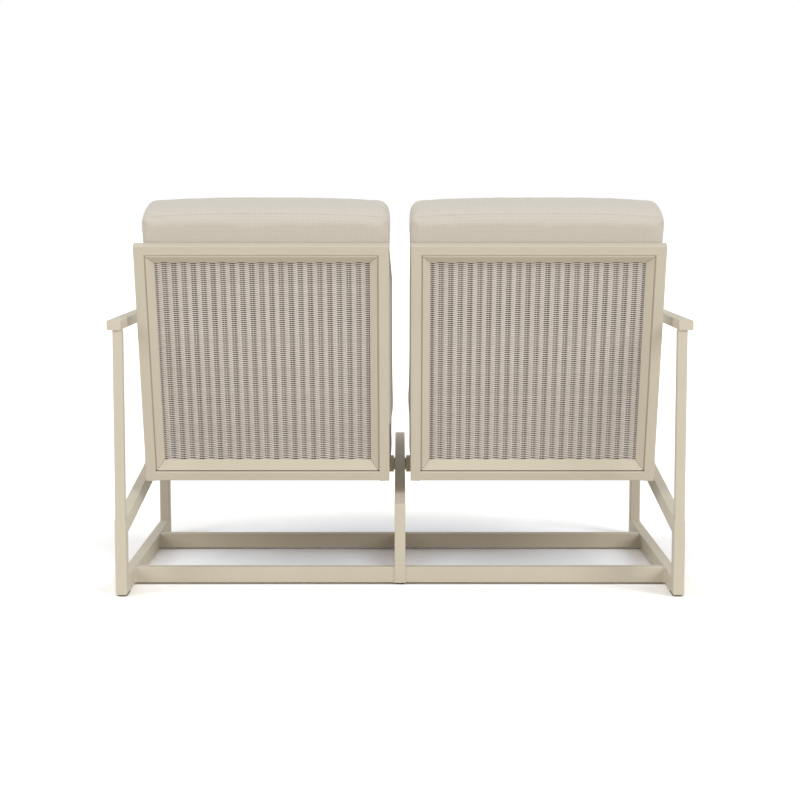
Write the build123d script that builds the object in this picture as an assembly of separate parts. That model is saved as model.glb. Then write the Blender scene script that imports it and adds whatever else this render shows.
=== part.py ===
"""Outdoor rocking bench: two cushioned seats, side by side, that rock on rubber torsion axles.

A fixed base of rectangular tube stands on the floor: an end ring with an armrest at each side, a
lower ring between the seats, and stretchers that tie the three rings together. A square axle tube
runs under each seat. Inside it a square core, turned by an eighth of a turn, is bolted to the
rings, and four rubber cords fill the corners between the two, so the seat rocks and springs back.

+X is the sitter's left, -Y the way the sitter faces, +Z up. The origin is on the floor, under the
middle of the bench. Lengths are millimetres and angles are degrees.
"""
from build123d import *
from math import cos, radians, sin, sqrt, tan
import os

# Whole bench, measured over the armrests
bench_width = 1400
ring_depth = 888
arm_top_height = 672

# Tube of the three floor rings
ring_tube_width = 27
ring_tube_height = 39
ring_wall = 2
ring_edge_break = 1.5
ring_rear_height = 182
bearer_slope = 6.93
arm_outset = 11
centre_ring_setback = 148

# Stretchers between the rings
stretcher_depth = 30
rear_stretcher_setback = 151
front_stretcher_setback = 631

# Arms
arm_post_width = 24
arm_post_depth = 24
arm_post_wall = 1.8
arm_post_edge_radius = 2.5
armrest_width = 34
armrest_height = 24
armrest_wall = 1.8
armrest_overhang = 5
armrest_edge_radius = 3
armrest_plug_thickness = 3

# Foot glides
glide_height = 5
glide_width = 24
glide_length = 60
glide_corner_break = 4
glide_inset = 12
glide_stem_size = 8
glide_stem_length = 9
glide_stem_clearance = 0.2

# One seat and its one-inch frame tube
seat_side_clearance = 22
seat_gap = 53
frame_tube = 25.4
frame_wall = 1.6
frame_edge_radius = 3
seat_rail_length = 620

# Reclined back
back_tilt = 17.27
back_length = 623
back_foot_setback = 213
back_foot_height = 253
stile_foot_thickness = 3

# Bevelled moulding that holds the woven back panel
moulding_gap = 3.4
moulding_width = 18
moulding_sill_width = 24
moulding_set_in = 1.5
moulding_lip = 1.5
moulding_tongue_thickness = 5

# Woven panels
panel_depth = 17
panel_thickness = 2
panel_tuck = 10
panel_columns = 22
panel_rib_width = 12
panel_rib_height = 1.2
panel_rib_crest_share = 0.6
seat_panel_drop = 4

# Torsion axle under each seat
pivot_setback = 614
axle_tube_size = 38
axle_tube_wall = 3
axle_edge_radius = 2.5
core_size = 18
cord_radius = 5.4
cord_seat_gap = 0.15
cord_end_inset = 12
core_bore_depth = 40
washer_thickness = 2.4
washer_gap = 0.3
washer_radius = 17

# Bolts
bolt_radius = 5
bolt_head_width = 16
bolt_head_height = 6.4
bolt_washer_radius = 10
bolt_washer_thickness = 2
bolt_hole_clearance = 0.3
thread_clearance = 0.05
bolt_engagement = 32

# Brackets that carry the seat on its axle
bracket_thickness = 8
bracket_foot_length = 96
bracket_foot_thickness = 5
bracket_saddle_depth = 22
bracket_cheek = 7
bracket_web_top = 52
bracket_bolt_radius = 3
bracket_bolt_head_width = 10
bracket_bolt_head_height = 4
bracket_bolt_length = 16
bracket_bolt_pitch = 76

# Cushions
cushion_side_gap = 10.5
cushion_shift = 9
cushion_rest_gap = 0.3
cushion_corner_radius = 46
cushion_side_draw = 5
cushion_end_bulge = 5
seat_cushion_thickness = 112
seat_cushion_rear_gap = 6
seat_cushion_front_reach = 10
back_cushion_thickness = 140
back_cushion_top_reach = 81
back_cushion_nest = 15
cushion_height_shares = (0, 0.07, 0.22, 0.5, 0.74, 0.88, 0.96, 1)
cushion_inset_shares = (0.3, 0.1, 0, 0.03, 0, 0.16, 0.75, 3)

# Cuts run past what they cut by this much
overrun = 20

# Derived places
half_depth = ring_depth / 2
ring_inner_x = bench_width / 2 - arm_outset - ring_tube_width
ring_middle_x = ring_inner_x + ring_tube_width / 2
armrest_middle_x = bench_width / 2 - armrest_width / 2
centre_face_x = ring_tube_width / 2
seat_inner_x = seat_gap / 2
seat_outer_x = ring_inner_x - seat_side_clearance
seat_middle_x = (seat_inner_x + seat_outer_x) / 2
seat_width = seat_outer_x - seat_inner_x
cushion_width = seat_width - cushion_side_gap
seat_cushion_length = seat_rail_length + seat_cushion_front_reach - seat_cushion_rear_gap
bearer_rise_share = tan(radians(bearer_slope))
axle_gap = washer_thickness + 2 * washer_gap

X_AXIS = Vector(1, 0, 0)
FORWARD = Vector(0, -1, 0)
UP = Vector(0, 0, 1)
along_seat = FORWARD * cos(radians(bearer_slope)) + UP * sin(radians(bearer_slope))
off_seat = UP * cos(radians(bearer_slope)) - FORWARD * sin(radians(bearer_slope))
up_back = UP * cos(radians(back_tilt)) - FORWARD * sin(radians(back_tilt))
into_back = FORWARD * cos(radians(back_tilt)) + UP * sin(radians(back_tilt))


def place(x, setback, height):
    """The point x from the middle, setback in front of the rear legs, at height above the floor."""
    return Vector(x, half_depth - setback, height)


def bearer_top(setback):
    """Height of the sloping bearer's upper face above the floor."""
    return glide_height + ring_rear_height + bearer_rise_share * setback


def pivot_point(x):
    """A point of the rocking axis, which runs along the middle of the bearers' depth."""
    half_drop = ring_tube_height / 2 / cos(radians(bearer_slope))
    return place(x, pivot_setback, bearer_top(pivot_setback) - half_drop)


# Tubes


def section(across, deep, wall, radius):
    """Outline of a rectangular tube with rounded outer edges."""
    return RectangleRounded(across, deep, radius) - Rectangle(across - 2 * wall, deep - 2 * wall)


def sharp_section(across, deep):
    """Outline of the ring and stretcher tube, whose outer edges are only just broken."""
    outer = Rectangle(across, deep)
    outer = chamfer(outer.vertices(), ring_edge_break)
    return outer - Rectangle(across - 2 * ring_wall, deep - 2 * ring_wall)


def half_space(point, towards):
    """A cutting plane that keeps what lies on the side it points towards."""
    return Plane(origin=point, z_dir=towards)


def trim(body, planes):
    """Cut a body by planes and keep the side that each one points towards."""
    for plane in planes:
        body = split(body, bisect_by=plane, keep=Keep.TOP)
    return body


def tube_along(start, end, across_dir, profile, planes):
    """A tube on the line from start to end, run long at both ends and then cut by the planes."""
    run = end - start
    heading = run.normalized()
    base = Plane(origin=start - heading * overrun * 2, x_dir=across_dir, z_dir=heading)
    long_tube = extrude(base * profile, amount=run.length + 4 * overrun)
    return trim(long_tube, planes)


def inset_corner(corner, before, after, inset):
    """The point that lies inset inside both sides that meet at a corner."""
    first = (before - corner).normalized()
    second = (after - corner).normalized()
    return corner + (first + second) * (inset / first.cross(second).length)


def mitred_loop(corners, across_dir, profile, depth):
    """Four tubes round a closed outline of outer corners, each pair cut on the line between them."""
    tubes = []
    count = len(corners)
    for index in range(count):
        before, start, end, after = [corners[(index + step) % count] for step in (-1, 0, 1, 2)]
        inner_start = inset_corner(start, before, end, depth)
        inner_end = inset_corner(end, start, after, depth)
        shift = inset_corner(start, before, end, depth / 2) - start
        heading = (end - start).normalized()
        inward = shift - heading * shift.dot(heading)
        start_normal = (inner_start - start).cross(across_dir)
        end_normal = (inner_end - end).cross(across_dir)
        start_cut = half_space(start, start_normal * start_normal.dot(heading))
        end_cut = half_space(end, end_normal * -end_normal.dot(heading))
        tubes.append(tube_along(start + inward, end + inward, across_dir, profile,
                                [start_cut, end_cut]))
    return tubes


def rod(point, heading, radius, length):
    """A round bar that starts at a point."""
    return extrude(Plane(origin=point, z_dir=heading) * Circle(radius), amount=length)


# Base


def ring(middle_x, rear_setback):
    """Foot rail, front leg, bearer and rear leg of one ring, in that order."""
    outline = [
        place(middle_x, rear_setback, glide_height),
        place(middle_x, ring_depth, glide_height),
        place(middle_x, ring_depth, bearer_top(ring_depth)),
        place(middle_x, rear_setback, bearer_top(rear_setback)),
    ]
    profile = sharp_section(ring_tube_width, ring_tube_height)
    return mitred_loop(outline, X_AXIS, profile, ring_tube_height)


def glide_setbacks(rear_setback):
    """Where the two glides of a ring stand, measured from the rear legs."""
    reach = glide_inset + glide_length / 2
    return (rear_setback + reach, ring_depth - reach)


def glide(x, setback):
    """A pad with a stem that pushes into a hole in the foot rail."""
    pad = Rectangle(glide_width, glide_length)
    pad = chamfer(pad.vertices(), glide_corner_break)
    base = Plane(origin=place(x, setback, 0))
    foot = extrude(base * pad, amount=glide_height)
    stem = Rectangle(glide_stem_size, glide_stem_size)
    return foot + extrude(base * stem, amount=glide_height + glide_stem_length)


def drilled_foot_rail(rail, x, rear_setback):
    """The foot rail with a square hole for each glide's stem."""
    hole = glide_stem_size + 2 * glide_stem_clearance
    for setback in glide_setbacks(rear_setback):
        base = Plane(origin=place(x, setback, glide_height - overrun))
        rail = rail - extrude(base * Rectangle(hole, hole), amount=overrun + ring_tube_height / 2)
    return rail


def drilled_bearer(bearer, x):
    """The bearer with the hole for the bolt that holds the axle core."""
    start = pivot_point(x) - X_AXIS * (ring_tube_width / 2 + overrun)
    return bearer - rod(start, X_AXIS, bolt_radius + bolt_hole_clearance,
                        ring_tube_width + 2 * overrun)


def stretcher(side, rear_setback):
    """A floor tube from the centre ring to an end ring."""
    height = glide_height + ring_tube_height / 2
    middle = rear_setback + stretcher_depth / 2
    start = place(side * centre_face_x, middle, height)
    end = place(side * ring_inner_x, middle, height)
    heading = X_AXIS * side
    profile = sharp_section(stretcher_depth, ring_tube_height)
    cuts = [half_space(start, heading), half_space(end, heading * -1)]
    return tube_along(start, end, FORWARD, profile, cuts)


def arm_post(side, middle_setback):
    """An upright from the sloping top of a ring to the underside of the armrest."""
    x = side * ring_middle_x
    foot = place(x, middle_setback, bearer_top(middle_setback))
    head = place(x, middle_setback, arm_top_height - armrest_height)
    profile = section(arm_post_width, arm_post_depth, arm_post_wall, arm_post_edge_radius)
    cuts = [half_space(foot, off_seat), half_space(head, UP * -1)]
    return tube_along(foot, head, X_AXIS, profile, cuts)


def armrest_end(side, setback):
    """Middle of an end of the armrest tube."""
    return place(side * armrest_middle_x, setback, arm_top_height - armrest_height / 2)


def armrest(side):
    """A straight level tube over both posts of one side."""
    start = armrest_end(side, -armrest_overhang)
    end = armrest_end(side, ring_depth + armrest_overhang)
    profile = section(armrest_width, armrest_height, armrest_wall, armrest_edge_radius)
    cuts = [half_space(start, FORWARD), half_space(end, FORWARD * -1)]
    return tube_along(start, end, X_AXIS, profile, cuts)


def armrest_plug(side, setback, inward):
    """The plate that closes one end of an armrest."""
    plate = Rectangle(armrest_width - 2 * armrest_wall, armrest_height - 2 * armrest_wall)
    base = Plane(origin=armrest_end(side, setback), x_dir=X_AXIS, z_dir=inward)
    return extrude(base * plate, amount=armrest_plug_thickness)


# Torsion axle


def axle_ends(side):
    """Inner and outer ends of a seat's axle tube, clear of the rings by the thrust washers."""
    return (pivot_point(side * (centre_face_x + axle_gap)),
            pivot_point(side * (ring_inner_x - axle_gap)))


def axle_tube(side):
    """Square tube under the seat, in line with the bearers' slope."""
    start, end = axle_ends(side)
    heading = X_AXIS * side
    profile = section(axle_tube_size, axle_tube_size, axle_tube_wall, axle_edge_radius)
    cuts = [half_space(start, heading), half_space(end, heading * -1)]
    return tube_along(start, end, along_seat, profile, cuts)


def core_corner_direction():
    """Across the core from flat to flat: an eighth of a turn from the axle tube's walls."""
    return (along_seat + off_seat).normalized()


def axle_core(side):
    """Square bar from ring to ring, turned so that its flats face the tube's corners."""
    start = pivot_point(side * centre_face_x)
    end = pivot_point(side * ring_inner_x)
    heading = X_AXIS * side
    base = Plane(origin=start, x_dir=core_corner_direction(), z_dir=heading)
    bar = extrude(base * Rectangle(core_size, core_size), amount=(end - start).length)
    bore = bolt_radius + thread_clearance
    bar = bar - rod(start, heading, bore, core_bore_depth)
    return bar - rod(end, heading * -1, bore, core_bore_depth)


def rubber_cord(side, turn):
    """One rubber cord in a corner of the axle tube, resting against a flat of the core."""
    start, end = axle_ends(side)
    heading = X_AXIS * side
    corner_reach = (axle_tube_size / 2 - axle_tube_wall - cord_radius - cord_seat_gap) * sqrt(2)
    across = along_seat * cos(radians(turn)) + off_seat * sin(radians(turn))
    first = start + across * corner_reach + heading * cord_end_inset
    length = (end - start).length - 2 * cord_end_inset
    return rod(first, heading, cord_radius, length)


def thrust_washer(side, face_x, away):
    """Ring round the core between an axle tube's end and the ring that holds it."""
    heading = X_AXIS * (side * away)
    base = Plane(origin=pivot_point(side * face_x) + heading * washer_gap,
                 x_dir=core_corner_direction(), z_dir=heading)
    hole = core_size + 2 * washer_gap
    return extrude(base * (Circle(washer_radius) - Rectangle(hole, hole)),
                   amount=washer_thickness)


def end_bolt(side):
    """Hexagon bolt and washer from the outside of an end ring into the core."""
    inward = X_AXIS * -side
    face = pivot_point(side * (ring_inner_x + ring_tube_width))
    washer = rod(face, inward * -1, bolt_washer_radius, bolt_washer_thickness)
    head_base = Plane(origin=face - inward * bolt_washer_thickness, z_dir=inward * -1)
    hexagon = RegularPolygon(bolt_head_width / 2, 6, major_radius=False)
    head = extrude(head_base * hexagon, amount=bolt_head_height)
    shank = rod(face, inward, bolt_radius, ring_tube_width + bolt_engagement)
    return washer + head + shank


def centre_stud():
    """Stud through the centre bearer that holds the inner ends of both cores."""
    reach = centre_face_x + bolt_engagement
    return rod(pivot_point(-reach), X_AXIS, bolt_radius, 2 * reach)


# Seat frame


def back_point(x, rise, depth):
    """A point of the back: rise up its slope from the foot, depth forward of its rear face."""
    return place(x, back_foot_setback, back_foot_height) + up_back * rise + into_back * depth


def seat_point(x, run, lift):
    """A point of the seat: run forward along the rails' underside from the back, lift above it."""
    return back_point(x, 0, frame_tube) + along_seat * run + off_seat * lift


def frame_section():
    """Outline of the one-inch tube."""
    return section(frame_tube, frame_tube, frame_wall, frame_edge_radius)


def across_frame(inner_x, outer_x, side):
    """The two edges of a seat along X, in the order inner, outer."""
    return side * inner_x, side * outer_x


def back_stile(x, towards_middle):
    """Upright of the back, closed at its foot and mitred into the top rail."""
    half = frame_tube / 2
    foot = back_point(x, 0, half)
    head = back_point(x, back_length, half)
    mitre = half_space(head - towards_middle * half, towards_middle * -1 - up_back)
    tube = tube_along(foot, head, X_AXIS, frame_section(), [half_space(foot, up_back), mitre])
    bore = Rectangle(frame_tube - 2 * frame_wall, frame_tube - 2 * frame_wall)
    base = Plane(origin=foot, x_dir=X_AXIS, z_dir=up_back)
    return tube + extrude(base * bore, amount=stile_foot_thickness)


def back_top_rail(side):
    """Upper rail of the back, mitred into both stiles."""
    half = frame_tube / 2
    inner, outer = across_frame(seat_inner_x, seat_outer_x, side)
    start = back_point(inner, back_length - half, half)
    end = back_point(outer, back_length - half, half)
    heading = X_AXIS * side
    cuts = [
        half_space(start + up_back * half, heading + up_back),
        half_space(end + up_back * half, heading * -1 + up_back),
    ]
    return tube_along(start, end, up_back, frame_section(), cuts)


def back_bottom_rail(side):
    """Lower rail of the back, butted between the stiles."""
    half = frame_tube / 2
    inner, outer = across_frame(seat_inner_x + frame_tube, seat_outer_x - frame_tube, side)
    start = back_point(inner, half, half)
    end = back_point(outer, half, half)
    heading = X_AXIS * side
    cuts = [half_space(start, heading), half_space(end, heading * -1)]
    return tube_along(start, end, up_back, frame_section(), cuts)


def seat_rail(x, towards_middle):
    """Side rail of the seat, from the back's stile to a mitre at the front."""
    half = frame_tube / 2
    start = seat_point(x, 0, half)
    end = seat_point(x, seat_rail_length, half)
    mitre = half_space(end - towards_middle * half, towards_middle * -1 - along_seat)
    butt = half_space(seat_point(x, 0, 0), into_back)
    rail = tube_along(start, end, X_AXIS, frame_section(), [butt, mitre])
    for run in bracket_bolt_runs():
        hole = bracket_bolt_radius + bolt_hole_clearance
        rail = rail - rod(seat_point(x, run, -overrun), off_seat, hole, overrun + half)
    return rail


def seat_front_rail(side):
    """Front rail of the seat, mitred into both side rails."""
    half = frame_tube / 2
    inner, outer = across_frame(seat_inner_x, seat_outer_x, side)
    start = seat_point(inner, seat_rail_length - half, half)
    end = seat_point(outer, seat_rail_length - half, half)
    heading = X_AXIS * side
    cuts = [
        half_space(start + along_seat * half, heading + along_seat),
        half_space(end + along_seat * half, heading * -1 + along_seat),
    ]
    return tube_along(start, end, off_seat, frame_section(), cuts)


# Brackets between axle and seat


def pivot_run():
    """How far along the seat rails the rocking axis lies."""
    return (pivot_point(0) - seat_point(0, 0, 0)).dot(along_seat)


def bracket_height():
    """Height of the seat rails' underside above the rocking axis."""
    return (seat_point(0, 0, 0) - pivot_point(0)).dot(off_seat)


def bracket_bolt_runs():
    """Where along the rails the two bolts of a bracket stand."""
    return (pivot_run() - bracket_bolt_pitch / 2, pivot_run() + bracket_bolt_pitch / 2)


def bracket_outline():
    """Saddle over the axle tube that rises to the foot plate under the seat rail."""
    shoulder = bracket_height() - bracket_foot_thickness
    half_top = bracket_web_top / 2
    half_tube = axle_tube_size / 2
    waist = half_tube + bracket_cheek
    low = half_tube - bracket_saddle_depth
    rise = (half_tube + shoulder) / 2
    neck = half_tube + bracket_cheek / 3
    front = ThreePointArc((waist, half_tube), (neck, rise), (half_top, shoulder))
    lid = Line((half_top, shoulder), (-half_top, shoulder))
    rear = ThreePointArc((-half_top, shoulder), (-neck, rise), (-waist, half_tube))
    saddle = Polyline((-waist, half_tube), (-waist, low), (-half_tube, low),
                      (-half_tube, half_tube), (half_tube, half_tube), (half_tube, low),
                      (waist, low), (waist, half_tube))
    return make_face(front + lid + rear + saddle)


def pivot_bracket(x):
    """Web over the axle tube with a flat foot that is bolted to the rail above."""
    base = Plane(origin=pivot_point(x), x_dir=along_seat, z_dir=X_AXIS * -1)
    web = extrude(base * bracket_outline(), amount=bracket_thickness / 2, both=True)
    foot_base = Plane(origin=seat_point(x, pivot_run(), -bracket_foot_thickness),
                      x_dir=along_seat, z_dir=off_seat)
    foot = extrude(foot_base * Rectangle(bracket_foot_length, frame_tube),
                   amount=bracket_foot_thickness)
    bracket = web + foot
    for run in bracket_bolt_runs():
        hole = bracket_bolt_radius + bolt_hole_clearance
        bracket = bracket - rod(seat_point(x, run, -overrun), off_seat, hole, 2 * overrun)
    return bracket


def bracket_bolt(x, run):
    """Hexagon screw up through a bracket's foot into the rail."""
    under = seat_point(x, run, -bracket_foot_thickness)
    head_base = Plane(origin=under, x_dir=along_seat, z_dir=off_seat * -1)
    hexagon = RegularPolygon(bracket_bolt_head_width / 2, 6, major_radius=False)
    head = extrude(head_base * hexagon, amount=bracket_bolt_head_height)
    return head + rod(under, off_seat, bracket_bolt_radius, bracket_bolt_length)


# Woven back panel and its moulding


def opening_edges(side):
    """The back's clear opening between its tubes: low corner and high corner along X and rise."""
    inner = seat_inner_x + frame_tube
    outer = seat_outer_x - frame_tube
    return inner, outer, frame_tube, back_length - frame_tube


def moulding_section(width):
    """Bevelled strip with a tongue that reaches the tube behind a shadow gap."""
    face_end = moulding_gap + width
    tongue_top = panel_depth - moulding_tongue_thickness
    return make_face(Polyline(
        (moulding_gap, moulding_set_in),
        (face_end, panel_depth - moulding_lip),
        (face_end, panel_depth),
        (0, panel_depth),
        (0, tongue_top),
        (moulding_gap, tongue_top),
        close=True))


def moulding_strip(side, start, end, inward, width, next_widths):
    """One strip along an edge of the opening, cut at each end on the line between its corners."""
    first = back_point(side * start[0], start[1], 0)
    last = back_point(side * end[0], end[1], 0)
    heading = (last - first).normalized()
    turned = inward.cross(into_back).dot(heading) > 0
    base = Plane(origin=first, x_dir=inward, z_dir=inward.cross(into_back))
    run = (last - first).length
    strip = extrude(base * moulding_section(width), amount=run if turned else -run)
    groove = inward * moulding_gap
    cuts = []
    for corner, away, next_width in ((first, heading, next_widths[0]),
                                     (last, heading * -1, next_widths[1])):
        groove_corner = corner + groove + away * moulding_gap
        diagonal = inward * width + away * next_width
        normal = diagonal.cross(into_back)
        cuts.append(half_space(groove_corner, normal * normal.dot(away)))
    return trim(strip, cuts)


def panel_moulding(side):
    """Sill, two sides and head of the moulding round the woven panel."""
    inner, outer, low, high = opening_edges(side)
    across = X_AXIS * side
    narrow, sill = moulding_width, moulding_sill_width
    return [
        moulding_strip(side, (inner, low), (outer, low), up_back, sill, (narrow, narrow)),
        moulding_strip(side, (outer, low), (outer, high), across * -1, narrow, (sill, narrow)),
        moulding_strip(side, (outer, high), (inner, high), up_back * -1, narrow,
                       (narrow, narrow)),
        moulding_strip(side, (inner, high), (inner, low), across, narrow, (narrow, sill)),
    ]


def ribbed_sheet(width, length, tuck):
    """A sheet with straight ribs on its upper face, which stop at its tucked-in edges."""
    sheet = Pos(0, 0, -panel_thickness) * extrude(
        Rectangle(width + 2 * tuck, length + 2 * tuck), amount=panel_thickness)
    half_rib = panel_rib_width / 2
    half_crest = half_rib * panel_rib_crest_share
    rib_face = make_face(Polyline((-half_rib, 0), (-half_crest, panel_rib_height),
                                  (half_crest, panel_rib_height), (half_rib, 0), close=True))
    base = Plane(origin=(0, length / 2, 0), x_dir=(-1, 0, 0), z_dir=(0, 1, 0))
    rib = extrude(base * rib_face, amount=-length)
    period = width / panel_columns
    ribs = [Pos(period * (index - panel_columns / 2), 0, 0) * rib
            for index in range(1, panel_columns)]
    return sheet + ribs


def woven_panel(side):
    """The woven sheet behind the moulding of the back."""
    inner, outer, low, high = opening_edges(side)
    edge = moulding_gap + moulding_width
    sill_edge = moulding_gap + moulding_sill_width
    width = outer - inner - 2 * edge
    length = high - low - edge - sill_edge
    middle = back_point(side * seat_middle_x, low + sill_edge + length / 2, panel_depth)
    base = Plane(origin=middle, x_dir=X_AXIS, z_dir=into_back * -1)
    return base.location * ribbed_sheet(width, length, panel_tuck)


def seat_panel(side):
    """The flat sheet stretched between the seat rails, under the cushion."""
    width = seat_width - 2 * frame_tube
    length = seat_rail_length - frame_tube
    lift = frame_tube - seat_panel_drop
    middle = seat_point(side * seat_middle_x, length / 2, lift - panel_thickness)
    base = Plane(origin=middle, x_dir=X_AXIS, z_dir=off_seat)
    sheet = Pos(0, -overrun / 2) * Rectangle(width, length + overrun)
    return trim(extrude(base * sheet, amount=panel_thickness),
                [half_space(seat_point(0, 0, 0), into_back),
                 half_space(seat_point(0, length, 0), along_seat * -1)])


# Cushions


def cushion_outline(width, length, inset):
    """Outline with round corners; its long sides draw in and its two ends swell a little."""
    half_w = width / 2 - inset
    half_l = length / 2 - inset
    corner_l = half_l - cushion_end_bulge
    radius = cushion_corner_radius
    bend = radius * (1 - sqrt(2) / 2)
    waist = half_w - cushion_side_draw
    right = ThreePointArc((half_w, radius - corner_l), (waist, 0), (half_w, corner_l - radius))
    far_right = ThreePointArc((half_w, corner_l - radius), (half_w - bend, corner_l - bend),
                              (half_w - radius, corner_l))
    far = ThreePointArc((half_w - radius, corner_l), (0, half_l), (radius - half_w, corner_l))
    half = right + far_right + far
    other_half = mirror(mirror(half, Plane.YZ), Plane.XZ)
    near_right = mirror(far_right, Plane.XZ)
    far_left = mirror(far_right, Plane.YZ)
    return make_face(half + far_left + other_half + near_right)


def cushion(width, length, thickness):
    """Box cushion, flat below and crowned above, made through outlines at rising heights."""
    sections = []
    for height_share, inset_share in zip(cushion_height_shares, cushion_inset_shares):
        outline = cushion_outline(width, length, cushion_corner_radius * inset_share)
        sections.append(Pos(0, 0, thickness * height_share) * outline)
    return loft(sections, ruled=True)


def seat_cushion(side):
    """Cushion that lies on the seat rails."""
    run = seat_cushion_rear_gap + seat_cushion_length / 2
    x = side * (seat_middle_x - cushion_shift)
    base = Plane(origin=seat_point(x, run, frame_tube + cushion_rest_gap), x_dir=X_AXIS,
                 z_dir=off_seat)
    return base.location * cushion(cushion_width, seat_cushion_length, seat_cushion_thickness)


def back_cushion(side):
    """Cushion that leans on the back and nests a little behind the seat cushion's round edge."""
    seat_top = frame_tube + cushion_rest_gap + seat_cushion_thickness
    foot = seat_top / cos(radians(back_tilt - bearer_slope)) - back_cushion_nest
    length = back_length + back_cushion_top_reach - foot
    x = side * (seat_middle_x - cushion_shift)
    base = Plane(origin=back_point(x, foot + length / 2, frame_tube + cushion_rest_gap),
                 x_dir=X_AXIS, z_dir=into_back)
    return base.location * cushion(cushion_width, length, back_cushion_thickness)


# Nodes


def base_nodes():
    """Every fixed piece: rings, stretchers, arms, glides, cores and their bolts."""
    nodes = {}
    for name, side in (("left", 1), ("right", -1)):
        x = side * ring_middle_x
        foot_rail, front_leg, bearer, rear_leg = ring(x, 0)
        nodes[f"sled_rail_{name}"] = drilled_foot_rail(foot_rail, x, 0)
        nodes[f"front_leg_{name}"] = front_leg
        nodes[f"bearer_rail_{name}"] = drilled_bearer(bearer, x)
        nodes[f"rear_leg_{name}"] = rear_leg
        nodes[f"rear_stretcher_{name}"] = stretcher(side, rear_stretcher_setback)
        nodes[f"front_stretcher_{name}"] = stretcher(side, front_stretcher_setback)
        nodes[f"rear_arm_post_{name}"] = arm_post(side, arm_post_depth / 2)
        nodes[f"front_arm_post_{name}"] = arm_post(side, ring_depth - arm_post_depth / 2)
        nodes[f"armrest_{name}"] = armrest(side)
    foot_rail, front_leg, bearer, rear_leg = ring(0, centre_ring_setback)
    nodes["centre_foot_rail"] = drilled_foot_rail(foot_rail, 0, centre_ring_setback)
    nodes["centre_front_post"] = front_leg
    nodes["centre_bearer_rail"] = drilled_bearer(bearer, 0)
    nodes["centre_rear_post"] = rear_leg
    nodes["armrest_plugs"] = [
        armrest_plug(side, setback, inward)
        for side in (1, -1)
        for setback, inward in ((-armrest_overhang, FORWARD),
                                (ring_depth + armrest_overhang, FORWARD * -1))]
    nodes["foot_glides"] = [
        glide(x, setback)
        for x, rear_setback in ((ring_middle_x, 0), (-ring_middle_x, 0), (0, centre_ring_setback))
        for setback in glide_setbacks(rear_setback)]
    nodes["torsion_cores"] = [axle_core(side) for side in (1, -1)]
    nodes["core_bolts"] = [end_bolt(1), end_bolt(-1), centre_stud()]
    nodes["thrust_washers"] = [
        thrust_washer(side, face_x, away)
        for side in (1, -1)
        for face_x, away in ((centre_face_x, 1), (ring_inner_x, -1))]
    return nodes


def seat_nodes(name, side):
    """Every piece that rocks with one seat."""
    half = frame_tube / 2
    inner_x = side * (seat_inner_x + half)
    outer_x = side * (seat_outer_x - half)
    across = X_AXIS * side
    return {
        f"{name}_axle_tube": axle_tube(side),
        f"{name}_rubber_cords": [rubber_cord(side, 45 + 90 * quarter) for quarter in range(4)],
        f"{name}_pivot_brackets": [pivot_bracket(inner_x), pivot_bracket(outer_x)],
        f"{name}_bracket_bolts": [bracket_bolt(x, run) for x in (inner_x, outer_x)
                                  for run in bracket_bolt_runs()],
        f"{name}_seat_rail_inner": seat_rail(inner_x, across),
        f"{name}_seat_rail_outer": seat_rail(outer_x, across * -1),
        f"{name}_seat_front_rail": seat_front_rail(side),
        f"{name}_seat_panel": seat_panel(side),
        f"{name}_back_stile_inner": back_stile(inner_x, across),
        f"{name}_back_stile_outer": back_stile(outer_x, across * -1),
        f"{name}_back_top_rail": back_top_rail(side),
        f"{name}_back_bottom_rail": back_bottom_rail(side),
        f"{name}_panel_moulding": panel_moulding(side),
        f"{name}_woven_panel": woven_panel(side),
        f"{name}_seat_cushion": seat_cushion(side),
        f"{name}_back_cushion": back_cushion(side),
    }


def main():
    """Build every node and write it to parts/."""
    nodes = base_nodes()
    nodes.update(seat_nodes("left", 1))
    nodes.update(seat_nodes("right", -1))
    os.makedirs("parts", exist_ok=True)
    for name, shape in nodes.items():
        solids = shape if isinstance(shape, list) else [shape]
        group = Compound(children=[solid for piece in solids for solid in piece.solids()])
        export_step(group, f"parts/{name}.step")
    print(len(nodes), "nodes, rocking axis at", tuple(round(value, 3) for value in pivot_point(0)))


main()
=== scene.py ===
# %% [markdown]
# # A rocking bench for two
#
# The real object stands on a terrace: a fixed base of painted tube, and on it two seats that rock
# one by one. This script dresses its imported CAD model. The painted tubes, bolts and rubber keep
# their CAD shape and get a finish. The woven backs, the seat cloth, the cushions and the welds are
# new pieces, because their threads, folds and beads are finer than a CAD solid.

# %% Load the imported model
from math import radians

import bpy
import numpy as np
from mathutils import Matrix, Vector


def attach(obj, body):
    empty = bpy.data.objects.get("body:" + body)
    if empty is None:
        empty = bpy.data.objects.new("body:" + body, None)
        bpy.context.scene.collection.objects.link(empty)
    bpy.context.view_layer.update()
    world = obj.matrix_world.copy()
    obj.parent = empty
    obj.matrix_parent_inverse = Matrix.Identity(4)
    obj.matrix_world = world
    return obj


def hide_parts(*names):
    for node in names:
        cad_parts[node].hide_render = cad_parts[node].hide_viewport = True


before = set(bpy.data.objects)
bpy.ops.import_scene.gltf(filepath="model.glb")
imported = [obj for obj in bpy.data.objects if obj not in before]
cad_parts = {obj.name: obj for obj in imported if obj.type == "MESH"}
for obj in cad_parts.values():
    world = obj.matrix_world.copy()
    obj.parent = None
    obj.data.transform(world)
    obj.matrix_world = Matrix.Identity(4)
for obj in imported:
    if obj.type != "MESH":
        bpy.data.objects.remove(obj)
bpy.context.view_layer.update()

# %% [markdown]
# ## The measures that the new pieces share
#
# A piece that replaces a CAD solid has to lie exactly where that solid lies. The lengths below are
# the ones that the CAD source starts from, in metres. Two small functions turn places on the
# leaning back, or on the sloping seat, into points of the shared frame, a whole array at a time.

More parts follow.
